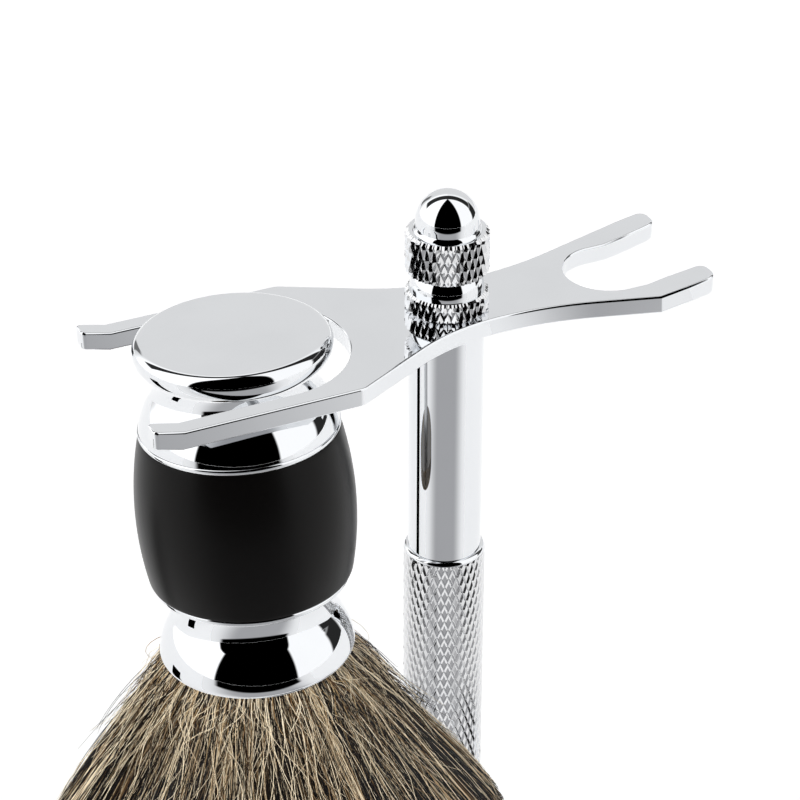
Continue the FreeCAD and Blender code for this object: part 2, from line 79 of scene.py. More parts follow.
MOUTH_R = 12.7                  # radius of the knot where it leaves the ferrule
HAIR_FAN_R = 39.3               # radius of the fan where it is widest
HAIR_FAN_LEN = 39.0             # from the ferrule's mouth down to there
FAN_HOLLOW = 0.07               # how far the fan's side is hollowed, as a share of its spread
HAIR_LEN = 51.3                 # from the mouth to the tips on the axis
HAIR_SIDE_LEN = 41.0            # the same along the outside
HAIR_CLEAR = 7.7                # from the post's axis to the nearest hair
HAIR_R = 0.085
LOCKS = 83                      # locks that the hairs gather into, round the knot

WELD = 0.0005                   # points closer than this become one
FINE = 160                      # faces round a polished piece

# ---- creases, in degrees ---------------------------------------------------------------
SHARP = 32                      # edges that turn by more than this stay sharp
PLATE_SHARP = 24
KNURL_SHARP = 12

# ---- camera and studio, in metres ------------------------------------------------------
CAMERA_PLACE = (-0.16018, -0.32605, 0.34027)
CAMERA_TILT = math.radians(58.179)
CAMERA_TURN = math.radians(-25.032)
LENS, SENSOR = 122.4, 36.0      # millimetres

SIDE_LIGHT = (1.45, 1.2)        # brightness of the left and right walls of the studio
BACK_LIGHT = 0.84
BACKDROP = 1.1                  # brightness that the camera itself sees all round
DARK = 0.02                     # what is left of a wall's brightness in a gap
OPENING_SLOPE = 0.737           # how fast the dark opening widens towards the camera
OPENING_TOP = 0.228             # its half width straight overhead
SEAM = 0.42                     # how far behind the stand the high seam lies, as a cosine

FLOOR_R = 3.0
CARD_LIFT = 0.0006              # from the floor to the cards that lie on it


# ---- shader maths ----------------------------------------------------------------------
class Value:
    """A number that varies over a surface: the socket that carries it, with arithmetic."""

    def __init__(self, finish, socket):
        self.finish = finish
        self.socket = socket

    def maths(self, operation, first, second):
        made = self.finish.node("ShaderNodeMath", {"operation": operation}, {0: first, 1: second})
        return Value(self.finish, made.outputs[0])

    def __add__(self, other):
        return self.maths("ADD", self, other)

    __radd__ = __add__

    def __sub__(self, other):
        return self.maths("SUBTRACT", self, other)

    def __rsub__(self, other):
        return self.maths("SUBTRACT", other, self)

    def __mul__(self, other):
        return self.maths("MULTIPLY", self, other)

    def __abs__(self):
        return self.maths("ABSOLUTE", self, 0.0)

    def step(self, low, high):
        """0 below one value, 1 above another, and a smooth rise between them."""
        made = self.finish.node("ShaderNodeMapRange", {"interpolation_type": "SMOOTHSTEP"},
                                {"Value": self, "From Min": low, "From Max": high})
        return Value(self.finish, made.outputs["Result"])


class Finish:
    """A material made of nodes."""

    def __init__(self, name, owner=None):
        self.owner = owner or bpy.data.materials.new(name)
        self.owner.use_nodes = True
        self.tree = self.owner.node_tree
        self.tree.nodes.clear()

    def node(self, kind, settings=None, inputs=None):
        made = self.tree.nodes.new(kind)
        for key, value in (settings or {}).items():
            if key == "stops":
                fill_ramp(made.color_ramp, value)
            else:
                setattr(made, key, value)
        for key, value in (inputs or {}).items():
            if isinstance(value, Value):
                value = value.socket
            if isinstance(value, bpy.types.NodeSocket):
                self.tree.links.new(value, made.inputs[key])
            else:
                made.inputs[key].default_value = value
        return made

    def coordinates(self, which="Object"):
        return self.node("ShaderNodeTexCoord").outputs[which]

    def stretched(self, scale, turn=(0, 0, 0)):
        """Object coordinates with a scale for each axis."""
        return self.node("ShaderNodeMapping", None, {
            "Vector": self.coordinates(), "Scale": scale, "Rotation": turn}).outputs["Vector"]

    def along(self, vector, axis):
        """How far a vector points along an axis."""
        made = self.node("ShaderNodeVectorMath", {"operation": "DOT_PRODUCT"}, {0: vector, 1: axis})
        return Value(self, made.outputs["Value"])

    def noise(self, scale, detail, vector=None):
        made = self.node("ShaderNodeTexNoise", None, {
            "Vector": vector or self.coordinates(), "Scale": scale, "Detail": detail})
        return Value(self, made.outputs["Fac"])

    def mix(self, factor, first, second):
        """One colour where the factor is 0, another where it is 1."""
        made = self.node("ShaderNodeMix", {"data_type": "RGBA"}, {
            "Factor": factor, 6: first, 7: second})
        return made.outputs[2]

    def ramp(self, factor, stops):
        return self.node("ShaderNodeValToRGB", {"stops": stops}, {"Fac": factor}).outputs["Color"]

    def bump(self, height, distance, strength):
        return self.node("ShaderNodeBump", None, {
            "Height": height, "Distance": distance, "Strength": strength}).outputs["Normal"]

    def surface(self, inputs):
        shader = self.node("ShaderNodeBsdfPrincipled", None, inputs)
        self.node("ShaderNodeOutputMaterial", None, {"Surface": shader.outputs[0]})
        return self.owner


def fill_ramp(ramp, stops):
    """Gives a colour ramp its stops, each a position and a colour."""
    while len(ramp.elements) < len(stops):
        ramp.elements.new(0.5)
    for element, (position, colour) in zip(ramp.elements, stops):
        element.position = position
        element.color = (*colour, 1.0)


# ---- finishes --------------------------------------------------------------------------
def polished_chrome():
    """Mirror plating, with faint cloudiness, wiping marks and a trace of waviness."""
    f = Finish("polished_chrome")
    cloud = f.noise(90.0, 4.0).step(0.35, 0.75)
    wiped = f.noise(1.0, 2.0, f.stretched((2600.0, 190.0, 190.0), (0.3, 0.2, 0.5)))
    marks = wiped.step(0.62, 0.8)
    colour = f.mix(cloud * 0.6, (0.80, 0.815, 0.835, 1), (0.765, 0.78, 0.80, 1))
    wave = f.noise(140.0, 1.0)
    return f.surface({
        "Base Color": colour, "Metallic": 1.0, "Roughness": 0.022 + cloud * 0.014 + marks * 0.03,
        "Normal": f.bump(wave, 0.00001, 0.35)})


def knurled_chrome():
    """Plating over knurling: a little duller and darker, and slightly rough; the darker colour is
    painted shade of the knurling.
    """
    f = Finish("knurled_chrome")
    grain = f.noise(2600.0, 2.0)
    cloud = f.noise(220.0, 3.0)
    # darker than the polished chrome all over: painted shade of the knurling's grooves; the cloud
    # varies it at random
    colour = f.mix(cloud.step(0.3, 0.8) * 0.5, (0.78, 0.785, 0.795, 1), (0.70, 0.71, 0.72, 1))
    return f.surface({
        "Base Color": colour, "Metallic": 1.0, "Roughness": 0.05 + grain * 0.08,
        "Normal": f.bump(grain, 0.00002, 0.4)})


def satin_black():
    """Black lacquer with a satin surface, very fine orange peel and a little dust."""
    f = Finish("satin_black")
    peel = f.noise(1900.0, 3.0)
    cloud = f.noise(60.0, 4.0)
    dust = f.noise(5200.0, 1.0).step(0.74, 0.8)
    colour = f.mix(dust * 0.2, (0.0042, 0.0036, 0.0034, 1), (0.05, 0.045, 0.042, 1))
    return f.surface({
        "Base Color": colour, "Roughness": 0.27 + cloud * 0.08 + dust * 0.2,
        "Specular IOR Level": 0.12, "Normal": f.bump(peel, 0.00002, 0.25)})


def badger_hair():
    """Hair that is cream, brown or black strand by strand, with a dark band and light tips.

    The UV of a strand holds its tone and how far down the knot each point is.
    """
    f = Finish("badger_hair")
    uv = f.node("ShaderNodeSeparateXYZ", None, {0: f.coordinates("UV")})
    tone = Value(f, uv.outputs[0])
    along = Value(f, uv.outputs[1])
    patch = f.noise(110.0, 3.0)
    streak = f.noise(900.0, 2.0)
    pick = tone * 0.92 + patch * 0.35 - 0.12
    root = f.ramp(pick, [(0.0, (0.006, 0.004, 0.003)), (0.24, (0.03, 0.018, 0.011)),
                         (0.40, (0.22, 0.12, 0.05)), (0.56, (0.62, 0.42, 0.20)),
                         (0.85, (0.97, 0.84, 0.62))])
    band = f.ramp(pick, [(0.0, (0.003, 0.002, 0.002)), (0.52, (0.012, 0.008, 0.006)),
                         (0.66, (0.14, 0.075, 0.03)), (0.84, (0.64, 0.46, 0.26)),
                         (1.0, (0.95, 0.82, 0.60))])
    tip = f.ramp(pick, [(0.0, (0.30, 0.22, 0.14)), (1.0, (0.74, 0.66, 0.54))])
    middle = (along + tone * 0.06).step(0.08, 0.34)
    end = (along + tone * 0.06).step(0.76, 0.90)
    colour = f.mix(end, f.mix(middle, root, band), tip)
    return f.surface({"Base Color": colour, "Roughness": 0.44 + streak * 0.18,
                      "Specular IOR Level": 0.12})


def hair_shadow():
    """Painted shade of the knot's depth, seen only between the strands."""
    f = Finish("hair_shadow")
    streak = f.noise(1.0, 3.0, f.stretched((900.0, 900.0, 60.0)))
    colour = f.ramp(streak, [(0.3, (0.012, 0.008, 0.006)), (0.7, (0.07, 0.048, 0.03))])
    return f.surface({"Base Color": colour, "Roughness": 0.85,
                      "Normal": f.bump(streak, 0.0004, 0.8)})


def zinc_steel():
    f = Finish("zinc_steel")
    turned_marks = f.noise(1.0, 2.0, f.stretched((300.0, 300.0, 6000.0)))
    colour = f.mix(turned_marks, (0.56, 0.57, 0.58, 1), (0.68, 0.69, 0.70, 1))
    return f.surface({"Base Color": colour, "Metallic": 1.0,
                      "Roughness": 0.26 + turned_marks * 0.16})


def cast_iron():
    f = Finish("grey_iron")
    grain = f.noise(900.0, 5.0)
    colour = f.mix(grain, (0.10, 0.10, 0.105, 1), (0.20, 0.20, 0.205, 1))
    return f.surface({"Base Color": colour, "Metallic": 0.6, "Roughness": 0.55 + grain * 0.2,
                      "Normal": f.bump(grain, 0.0002, 0.7)})


def foam_rubber():
    f = Finish("dark_rubber")
    pores = f.noise(3200.0, 3.0)
    colour = f.mix(pores, (0.018, 0.018, 0.019, 1), (0.05, 0.05, 0.052, 1))
    return f.surface({"Base Color": colour, "Roughness": 0.72 + pores * 0.2,
                      "Normal": f.bump(pores, 0.0002, 0.8)})


def plain_brass():
    f = Finish("plain_brass")
    cloud = f.noise(500.0, 3.0)
    colour = f.mix(cloud, (0.62, 0.45, 0.20, 1), (0.72, 0.55, 0.28, 1))
    return f.surface({"Base Color": colour, "Metallic": 1.0, "Roughness": 0.24 + cloud * 0.15})


def white_nylon():
    f = Finish("white_nylon")
    cloud = f.noise(700.0, 3.0)
    colour = f.mix(cloud, (0.72, 0.70, 0.66, 1), (0.80, 0.78, 0.74, 1))
    return f.surface({"Base Color": colour, "Roughness": 0.42 + cloud * 0.15})


def knot_resin():
    f = Finish("knot_resin")
    cloud = f.noise(350.0, 4.0)
    colour = f.mix(cloud, (0.22, 0.14, 0.06, 1), (0.36, 0.25, 0.13, 1))
    return f.surface({"Base Color": colour, "Roughness": 0.16 + cloud * 0.1,
                      "Coat Weight": 0.4 + cloud * 0.2})


# ---- meshes ----------------------------------------------------------------------------
def arc(start, middle, end, steps=10):
    """Points of the arc through three points of a profile, its start left out."""
    (ax, ay), (bx, by), (cx, cy) = start, middle, end
    d = 2 * (ax * (by - cy) + bx * (cy - ay) + cx * (ay - by))
    a2, b2, c2 = ax * ax + ay * ay, bx * bx + by * by, cx * cx + cy * cy
    x = (a2 * (by - cy) + b2 * (cy - ay) + c2 * (ay - by)) / d
    y = (a2 * (cx - bx) + b2 * (ax - cx) + c2 * (bx - ax)) / d
    radius = math.hypot(ax - x, ay - y)
    first, last = math.atan2(ay - y, ax - x), math.atan2(cy - y, cx - x)
    through = math.atan2(by - y, bx - x)
    sweep = (last - first) % (2 * math.pi)
    if (through - first) % (2 * math.pi) > sweep:
        sweep -= 2 * math.pi
    turns = [first + sweep * i / steps for i in range(1, steps + 1)]
    return [(x + radius * math.cos(t), y + radius * math.sin(t)) for t in turns]


def corner(centre, radius, first, last, steps=6):
    """Points of a rounded corner, between two angles in degrees."""
    turns = [math.radians(first + (last - first) * i / steps) for i in range(steps + 1)]
    return [(centre[0] + radius * math.cos(t), centre[1] + radius * math.sin(t)) for t in turns]


def turn_profile(bm, profile, segments=FINE):
    """Adds a solid of revolution about Z to a mesh."""
    verts = [bm.verts.new((r, 0, z)) for r, z in profile]
    edges = [bm.edges.new(pair) for pair in zip(verts, verts[1:])]
    bmesh.ops.spin(bm, geom=verts + edges, cent=(0, 0, 0), axis=(0, 0, 1),
                   angle=2 * math.pi, steps=segments, use_merge=True)


def piece(name, bm, finish, body, nodes=(), place=None, sharp=SHARP):
    """Finishes a mesh made in millimetres: its place, normals, material and body."""
    bmesh.ops.remove_doubles(bm, verts=bm.verts, dist=WELD)
    bmesh.ops.recalc_face_normals(bm, faces=bm.faces)
    if place is not None:
        bm.transform(place)
    bm.transform(Matrix.Scale(MM, 4))
    mesh = bpy.data.meshes.new(name)
    bm.to_mesh(mesh)
    bm.free()
    return finished(name, mesh, finish, body, nodes, sharp)


def linked(name, data):
    """A new object of the scene that shows a mesh, a light or a camera."""
    made = bpy.data.objects.new(name, data)
    bpy.context.scene.collection.objects.link(made)
    return made


def smooth(mesh):
    for polygon in mesh.polygons:
        polygon.use_smooth = True


def finished(name, mesh, finish, body, nodes=(), sharp=SHARP):
    """Gives a mesh its material and body. The brush doesn't show in the chrome."""
    smooth(mesh)
    mesh.set_sharp_from_angle(angle=math.radians(sharp))
    mesh.materials.clear()
    mesh.materials.append(finish)
    made = linked(name, mesh)
    normals = made.modifiers.new("flat faces stay flat", "WEIGHTED_NORMAL")
    normals.keep_sharp = True
    made.visible_glossy = body != "brush"
    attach(made, body)
    if nodes:
        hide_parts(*nodes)
    return made


def turned(name, profile, finish, body, nodes=(), place=None):
    """A piece that is a solid of revolution."""
    bm = bmesh.new()
    turn_profile(bm, profile)
    return piece(name, bm, finish, body, nodes, place)


def knurl(bm, radius, low, high, chamfer_low, chamfer_high, slope):
    """Adds a knurled band: a lattice of diamonds round the post, each raised to a blunt point.

    The lattice's rows are half a diamond high, and every other row is turned by half a diamond.
    """
    width, depth = slope
    floor = radius - depth
    end_r = floor - 0.25
    step = KNURL_RISE / 2
    start = math.floor((low - step) / step)
    rows = []
    for k in range(start, math.ceil((high + step) / step) + 1):
        offset = 0.5 * (k % 2)
        turns = [2 * math.pi * (i + offset) / KNURL_STARTS for i in range(KNURL_STARTS)]
        rows.append([bm.verts.new((floor * math.cos(t), floor * math.sin(t), k * step))
                     for t in turns])
    faces = []
    for index in range(len(rows) - 2):
        below, here, above = rows[index:index + 3]
        shift = (start + index) % 2
        for i in range(KNURL_STARTS):
            left = here[(i + shift - 1) % KNURL_STARTS]
            right = here[(i + shift) % KNURL_STARTS]
            faces.append(bm.faces.new((below[i], right, above[i], left)))
    bm.normal_update()
    bmesh.ops.inset_individual(bm, faces=faces, thickness=width, depth=depth,
                               use_even_offset=True)
    trim(bm, low + chamfer_low, (0, 0, -1), end_r, low)
    trim(bm, high - chamfer_high, (0, 0, 1), end_r, high)


def trim(bm, level, outwards, edge_r, edge_level):
    """Cuts a knurled band off at a level and slopes its end in to a plain edge."""
    tolerance = 0.001
    geometry = bm.verts[:] + bm.edges[:] + bm.faces[:]
    bmesh.ops.bisect_plane(bm, geom=geometry, plane_co=(0, 0, level), plane_no=outwards,
                           clear_outer=True)
    rim = [edge for edge in bm.edges if edge.is_boundary
           and all(abs(end.co.z - level) < tolerance for end in edge.verts)]
    made = bmesh.ops.extrude_edge_only(bm, edges=rim)["geom"]
    for vert in [g for g in made if isinstance(g, bmesh.types.BMVert)]:
        flat = Vector((vert.co.x, vert.co.y, 0)).normalized() * edge_r
        vert.co = (flat.x, flat.y, edge_level)


# ---- stand -----------------------------------------------------------------------------
def make_base(chrome):
    """A shallow dome with a rounded edge, and a boss in its middle for the post."""
    corner_r, corner_turn = 2.4, 65
    edge_low, edge_high = 0.6, 4.8
    dome_top, dome_bulge = 11.2, 0.9
    foot_r = BOSS_R + 2.0
    boss_foot, boss_round = dome_top + 0.5, 0.6
    wall, wall_top = 1.2, 2.4
    turn_end = corner((BASE_R - corner_r, edge_high - corner_r), corner_r, 0, corner_turn, 8)
    edge = turn_end[-1]
    foot = (foot_r, dome_top)
    crown = ((edge[0] + foot_r) / 2, (edge[1] + dome_top) / 2 + dome_bulge)
    inside = [(BASE_R - wall, edge_low), (BASE_R - wall, wall_top)]
    inside += [(foot_r, dome_top - wall), (0, dome_top - wall)]
    boss = [(BOSS_R, boss_foot)]
    boss += corner((BOSS_R - boss_round, BOSS_TOP - boss_round), boss_round, 0, 90)
    profile = [(0, BOSS_TOP)] + boss[::-1] + [foot] + arc(foot, crown, edge, 20)
    profile += turn_end[-2::-1] + [(BASE_R, edge_low)] + inside
    turned("base_shell_polished", profile, chrome, "stand", ["base_shell"])


def make_post(chrome, knurled):
    """Knurled lower post, its polished rim, and the polished tube above."""
    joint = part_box("post_tube")[0].z / MM
    tube_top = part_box("post_tube")[1].z / MM
    rim_round, rim_inset, rim_under = 0.7, 0.05, 0.12
    rim_foot = joint - rim_round
    overlap = 0.05              # of the knurling and what stands behind it
    foot_chamfer, top_chamfer = 0.4, 0.12
    bm = bmesh.new()
    knurl(bm, POST_R, BOSS_TOP, rim_foot + overlap, foot_chamfer, top_chamfer, GRIP_KNURL)
    piece("post_knurling", bm, knurled, "stand", ["post_grip"],
          sharp=KNURL_SHARP)
    core = POST_R - GRIP_KNURL[1] - 0.2
    rim = [(0, BOSS_TOP), (core, BOSS_TOP), (core, rim_foot - overlap)]
    rim += [(POST_R - rim_under, rim_foot)]
    rim += corner((POST_R - rim_round - rim_inset, rim_foot), rim_round, 0, 90) + [(0, joint)]
    turned("post_rim", rim, chrome, "stand")
    edge = 0.12
    bore_r = TUBE_R - 1.6
    end_length = 8              # two rings near the ends keep the long face's shading even
    tube = [(bore_r, joint)] + corner((TUBE_R - edge, joint + edge), edge, -90, 0, 3)
    tube += [(TUBE_R, joint + end_length), (TUBE_R, tube_top - end_length)]
    tube += corner((TUBE_R - edge, tube_top - edge), edge, 0, 90, 3)
    tube += [(bore_r, tube_top), (bore_r, joint)]
    turned("post_tube_polished", tube, chrome, "stand", ["post_tube"])


def make_holder(chrome):
    """The forked plate: the model's own shape, its loose triangles joined into one skin."""
    weld = 1e-6                 # metres, as the model's own mesh is
    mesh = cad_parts["holder_plate"].data.copy()
    bm = bmesh.new()
    bm.from_mesh(mesh)
    bmesh.ops.remove_doubles(bm, verts=bm.verts, dist=weld)
    bm.to_mesh(mesh)
    bm.free()
    finished("holder_plate_polished", mesh, chrome, "holder",
             ["holder_plate"], PLATE_SHARP)


def make_finial(chrome, knurled):
    """The collar with its bead, and the knob with its dome."""
    gap = 0.02
    band_height, bead_height, knob_height = 3.4, 3.2, 6.85
    collar_low = PLATE_TOP + gap
    band_top = collar_low + band_height
    bead_top = band_top + bead_height
    knob_low = bead_top + gap
    knob_top = knob_low + knob_height
    band_chamfer = 0.4
    bm = bmesh.new()
    knurl(bm, KNURL_R, collar_low, band_top, band_chamfer, band_chamfer, BAND_KNURL)
    piece("collar_knurling", bm, knurled, "collar", ["clamp_collar"],
          sharp=KNURL_SHARP)
    core = KNURL_R - BAND_KNURL[1] - 0.24
    bead_foot = band_top + 0.3  # the bead stands upright up to here, then bends in
    rise, inset = bead_top - bead_foot, BEAD_R - BEAD_TOP_R
    bulge_r = (rise * rise + inset * inset) / (2 * inset)
    turn = math.degrees(math.atan2(rise, bulge_r - inset))
    bore_r, recess_r, recess_top = 4.0, 4.5, collar_low + 1.6
    bead = [(recess_r, collar_low), (core, collar_low), (core, band_top), (BEAD_R, band_top)]
    bead += corner((BEAD_R - bulge_r, bead_foot), bulge_r, 0, turn, 24)
    bead += [(bore_r, bead_top), (bore_r, recess_top), (recess_r, recess_top)]
    bead += [(recess_r, collar_low)]
    turned("collar_bead", bead, chrome, "collar")

    chamfer_low, chamfer_high = 0.2, 0.5
    bm = bmesh.new()
    knurl(bm, KNURL_R, knob_low, knob_top, chamfer_low, chamfer_high, BAND_KNURL)
    piece("knob_knurling", bm, knurled, "knob", ["knob"], sharp=KNURL_SHARP)
    step_top, step_r = knob_top + 0.6, 5.35
    dome_centre = step_top + 0.75
    fillet_middle = (step_r - (step_r - DOME_R) * 0.3, step_top - 0.3)
    spigot_r, spigot_bore_r, spigot_low = 3.9, 2.6, knob_low - 4
    knob = [(spigot_bore_r, spigot_low), (spigot_r, spigot_low), (spigot_r, knob_low)]
    knob += [(core, knob_low), (core, knob_top), (step_r, knob_top)]
    knob += arc((step_r, knob_top), fillet_middle, (DOME_R, step_top), 6)
    knob += [(DOME_R, dome_centre)]
    knob += corner((0, dome_centre), DOME_R, 0, 90, 40)[1:]
    turned("knob_dome", knob, chrome, "knob")


# ---- brush -----------------------------------------------------------------------------
def brush_place():
    """Where the brush hangs: its axis leans a little from upright."""
    along = Vector((math.tan(BRUSH_LEAN[0]), math.tan(BRUSH_LEAN[1]), 1))
    turn = Vector((0, 0, 1)).rotation_difference(along).to_matrix().to_4x4()
    return Matrix.Translation(BRUSH_AXIS) @ turn


def make_cap(chrome, place):
    """Flat top, full rim, waisted neck and domed shoulder."""
    top, flat_r, flat_margin = 4.35, 13.3, 0.1
    cap_r, equator, under = 15.05, 2.5, 3.0
    half = math.sin(math.radians(45))
    top_mid = (flat_r + (cap_r - flat_r) * half, equator + (top - equator) * half)
    rim_low = (cap_r - under, equator - under)
    neck_mid, neck_low = (11.6, -2.2), (12.55, -5.0)
    shoulder_mid = (SHOULDER_R - 0.95, -7.45)
    profile = [(0, top), (flat_r - flat_margin, top), (flat_r, top)]
    profile += arc((flat_r, top), top_mid, (cap_r, equator), 14)
    profile += corner((cap_r - under, equator), under, 0, -90, 20)[1:]
    profile += arc(rim_low, neck_mid, neck_low, 20)
    profile += arc(neck_low, shoulder_mid, (SHOULDER_R, SHOULDER_H), 20)
    profile += [(0, SHOULDER_H)]
    turned("cap_polished", profile, chrome, "brush", ["handle_cap"], place)


def make_ring(name, node, high, low, chrome, place):
    """A flat ring with rounded edges, and a narrow straight band between them."""
    half_band = 0.1
    edge = (high - low) / 2 - half_band
    profile = [(ROD_BORE_R, low)] + corner((RING_R - edge, low + edge), edge, -90, 0)
    profile += corner((RING_R - edge, high - edge), edge, 0, 90)
    profile += [(ROD_BORE_R, high), (ROD_BORE_R, low)]
    turned(name, profile, chrome, "brush", [node], place)


def make_barrel(black, place):
    """A barrel that swells below its middle, with a small bevel at each end."""
    edge, bevel = 0.4, 0.12
    start_r = RING_R - 0.05
    widest = BARREL_TOP - 0.56 * (BARREL_TOP - BARREL_END)
    start = (start_r, BARREL_TOP - edge)
    end = (BARREL_END_R, BARREL_END + edge)
    profile = [(BARREL_BORE_R, BARREL_TOP), (RING_R - edge, BARREL_TOP)]
    profile += [(start_r - bevel, BARREL_TOP - bevel), start]
    profile += arc(start, (BARREL_R, widest), end, 40)
    profile += [(BARREL_END_R - bevel, BARREL_END + bevel), (BARREL_END_R - edge, BARREL_END)]
    profile += [(BARREL_BORE_R, BARREL_END), (BARREL_BORE_R, BARREL_TOP)]
    turned("barrel_lacquered", profile, black, "brush", ["handle_barrel"], place)


def make_ferrule(chrome, place):
    """A cove under the ring, then a flare that rolls in at its lip."""
    top, cove_mid = (13.0, FERRULE_TOP), (11.9, FERRULE_TOP - 3.1)
    cove_end, flare_mid = (12.7, FERRULE_TOP - 6.4), (FERRULE_R - 0.85, FERRULE_END + 4.2)
    widest, roll_mid = (FERRULE_R, FERRULE_END + 1.15), (FERRULE_R - 0.17, FERRULE_END + 0.45)
    profile = [(ROD_BORE_R, FERRULE_TOP), top]
    profile += arc(top, cove_mid, cove_end, 16)
    profile += arc(cove_end, flare_mid, widest, 24)
    profile += arc(widest, roll_mid, (LIP_R, FERRULE_END), 8)
    lip_round, mouth_r = 0.25, LIP_R - 1.15
    cup_r, cup_low, cup_top = 10.8, FERRULE_END + 4.5, FERRULE_END + 10.5
    profile += corner((mouth_r + lip_round, FERRULE_END + lip_round), lip_round, -90, -180, 4)
    profile += [(mouth_r, FERRULE_END + 0.6), (cup_r, cup_low), (cup_r, cup_top)]
    profile += [(ROD_BORE_R, cup_top), (ROD_BORE_R, FERRULE_TOP)]
    turned("ferrule_polished", profile, chrome, "brush", ["ferrule"], place)


# ---- hair ------------------------------------------------------------------------------
def fan_radius(depth):
    """Radius of the fan at a depth below the mouth: nearly a straight cone, a little hollow."""
    share = np.minimum(depth / HAIR_FAN_LEN, 1.0)
    spread = share - FAN_HOLLOW * np.sin(np.pi * share) * (1 - share)
    return MOUTH_R + (HAIR_FAN_R - MOUTH_R) * spread


def clear_of_post(points):
    """Bends hairs round the post, and keeps open the way by which the brush comes out."""
    kept_spacing = 0.08         # how much of their distances hairs that are bent aside keep
    x, y = points[..., 0], points[..., 1]
    before = np.minimum(x, 0)
    reach = np.sqrt(np.maximum(HAIR_CLEAR ** 2 - before ** 2, 0))
    side = np.where(y < 0, -1.0, 1.0)
    aside = side * (reach + kept_spacing * np.abs(y))
    points[..., 1] = np.where(np.abs(y) < reach, aside, y)
    return points


def strand_lines(count, seed, inner, place, rings, loose=1.0, length=(0.93, 1.0), flare=0.0,
                 light=0.0):
    """Centre lines of hairs, in millimetres, with a tone and the depth of each point.

    They start between a share of the knot's radius and its outside. The looser they are, the
    more they stray from their line, in how far out they lie and in their way round the knot.
    """
    lock_pull = 0.018           # radians by which hairs are drawn into their lock
    tip_curve = 2.6             # the tips' level falls off as this power of the radius
    spread_stray, lift_stray, drift_stray, curl_stray = 0.02, 0.5, 0.055, 0.022
    drift_power, curl_turns = 1.3, 2.2
    root_lift = 0.4             # the roots start this far up inside the ferrule
    contrast = 2.8
    rng = np.random.default_rng(seed)
    share = np.sqrt(rng.uniform(inner ** 2, 1.0, count))[:, None]
    turn = rng.uniform(0, 2 * np.pi, count)[:, None]
    turn = turn + lock_pull * np.sin(turn * LOCKS)
    reach = HAIR_LEN - (HAIR_LEN - HAIR_SIDE_LEN) * share ** tip_curve
    reach = reach * rng.uniform(*length, count)[:, None]
    along = np.linspace(0, 1, rings)[None, :]
    depth = reach * along
    spread = share * (1 + loose * rng.normal(0, spread_stray, count)[:, None] * along)
    radius = fan_radius(depth) * np.minimum(spread, 1.0)
    lift = loose * rng.normal(0, 1.0, count)[:, None] * np.sin(np.pi * along) * lift_stray
    drift = loose * rng.normal(0, drift_stray, count)[:, None] * along ** drift_power
    curl = loose * rng.normal(0, curl_stray, count)[:, None] * np.sin(curl_turns * np.pi * along)
    angle = turn + drift + curl
    out = flare * rng.uniform(0, 1, count)[:, None] ** 2 * depth
    radius = np.minimum(radius + lift * share + out, HAIR_FAN_R)
    points = np.stack([radius * np.cos(angle), radius * np.sin(angle),
                       FERRULE_END + root_lift - depth], axis=-1)
    points = points @ np.array(place.to_3x3()).T + np.array(place.translation)
    mixed = lock_tone(turn[:, 0]) + rng.uniform(-0.5, 0.5, count)
    tone = np.clip(0.5 + light + contrast * mixed, 0, 1)
    return clear_of_post(points), tone, depth / HAIR_LEN


def lock_tone(turn):
    """How much lighter or darker than the rest a lock is, round the knot."""
    waves = ((9, 1.3, 0.08), (23, 0.4, 0.10), (57, 2.1, 0.12), (131, 4.0, 0.10))
    return sum(depth * np.sin(count * turn + phase) for count, phase, depth in waves)


def strand_mesh(name, lines, tones, depths, thickness):
    """Hairs as three-sided tubes that taper to a point, with tone and depth as their UV."""
    crosswise = np.array([0.31, 0.23, 0.92])    # a direction that no hair runs along
    tip_share = 0.12
    count, rings, _ = lines.shape
    ahead = np.gradient(lines, axis=1)
    ahead /= np.linalg.norm(ahead, axis=2, keepdims=True)
    side = np.cross(ahead, crosswise)
    side /= np.linalg.norm(side, axis=2, keepdims=True)
    up = np.cross(side, ahead)
    taper = thickness * np.linspace(1, tip_share, rings)[None, :, None] ** 0.5
    corners = []
    for turn in (0, 2 * np.pi / 3, 4 * np.pi / 3):
        corners.append(lines + taper * (math.cos(turn) * side + math.sin(turn) * up))
    points = np.stack(corners, axis=2).reshape(-1, 3) * MM
    first = (np.arange(count)[:, None, None] * rings + np.arange(rings - 1)[None, :, None]) * 3
    a = first + np.arange(3)[None, None, :]
    b = first + (np.arange(3)[None, None, :] + 1) % 3
    quads = np.stack([a, b, b + 3, a + 3], axis=-1).reshape(-1, 4)
    mesh = bpy.data.meshes.new(name)
    mesh.vertices.add(len(points))
    mesh.vertices.foreach_set("co", points.astype(np.float32).ravel())
    mesh.loops.add(quads.size)
    mesh.loops.foreach_set("vertex_index", quads.astype(np.int32).ravel())
    mesh.polygons.add(len(quads))
    mesh.polygons.foreach_set("loop_start", np.arange(0, quads.size, 4, dtype=np.int32))
    mesh.update(calc_edges=True)
    tone = np.repeat(tones, rings * 3)
    depth = np.repeat(depths.reshape(-1), 3)
    uv = np.stack([tone, depth], axis=-1)[quads.ravel()]
    layer = mesh.uv_layers.new(name="strand")
    layer.data.foreach_set("uv", uv.astype(np.float32).ravel())
    return mesh


def hair_piece(name, mesh, finish, nodes=()):
    """Gives a mesh of hairs its material and body, and the light of the lamps."""
    smooth(mesh)
    mesh.materials.append(finish)
    made = linked(name, mesh)
    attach(made, "brush")
    if nodes:
        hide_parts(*nodes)
    made.visible_glossy = False
    lit_by_lamps().objects.link(made)


def lit_by_lamps():
    """The collection of what the lamps light: the hair, and not the floor or the chrome."""
    name = "lit_by_lamps"
    return bpy.data.collections.get(name) or bpy.data.collections.new(name)


